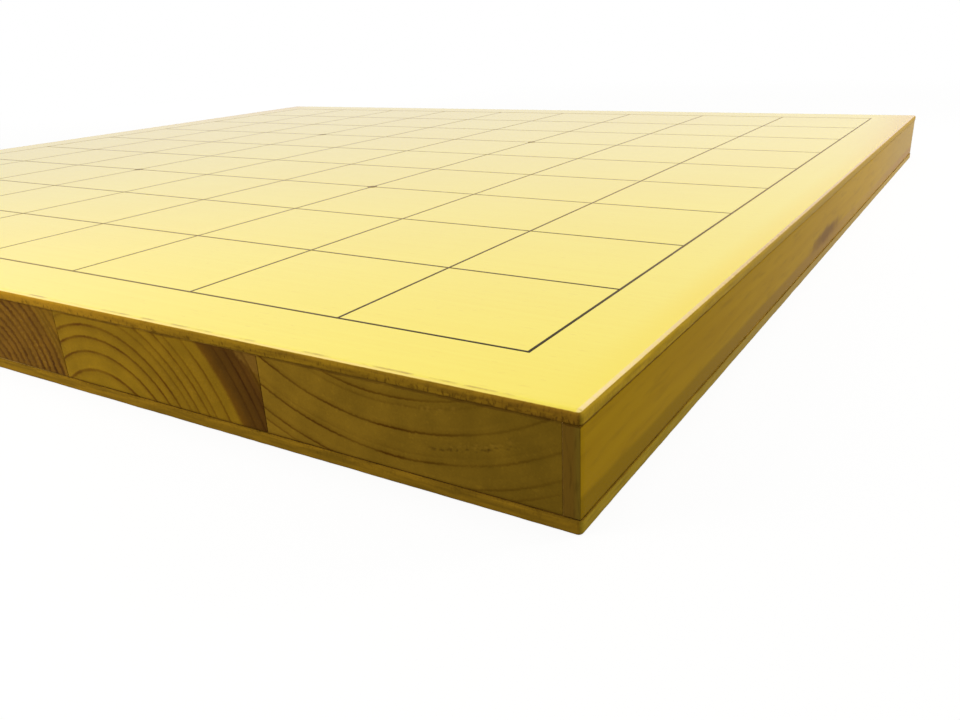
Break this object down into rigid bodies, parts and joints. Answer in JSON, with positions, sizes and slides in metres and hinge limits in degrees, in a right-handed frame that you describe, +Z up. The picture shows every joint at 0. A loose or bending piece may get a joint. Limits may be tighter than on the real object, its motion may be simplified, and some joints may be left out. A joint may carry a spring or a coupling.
{
  "type": "shogi board",
  "caption": "Flat table shogi board of glued wooden staves between two face sheets, with a lacquered grid of squares and star dots on its gloss yellow playing face.",
  "frame": {"origin": "centre of the underside, on the surface that the board stands on", "axes": "+X along the long side, the direction of play; +Y along the short side; +Z up, out of the playing face"},
  "size_m": [0.36, 0.33, 0.0181],
  "materials": {
    "face_sheet": "yellow stained, clear gloss lacquer",
    "under_sheet": "clear satin lacquer",
    "core_wood": "sawn end grain, clear satin lacquer",
    "strip_wood": "planed long grain, clear satin lacquer",
    "glue": "cured brown wood glue",
    "line_lacquer": "raised black lacquer"
  },
  "bodies": {
    "root": {"top_board": "face_sheet", "bottom_board": "under_sheet", "right_end_strip": "strip_wood", "left_end_strip": "strip_wood", "core_stave_1": "core_wood", "core_stave_2": "core_wood", "core_stave_3": "core_wood", "core_stave_4": "core_wood", "core_stave_5": "core_wood", "core_stave_6": "core_wood", "core_stave_7": "core_wood", "upper_glue_line": "glue", "lower_glue_line": "glue", "upright_glue_lines": "glue", "grid_lines": "line_lacquer", "star_points": "line_lacquer"}
  },
  "joints": []
}
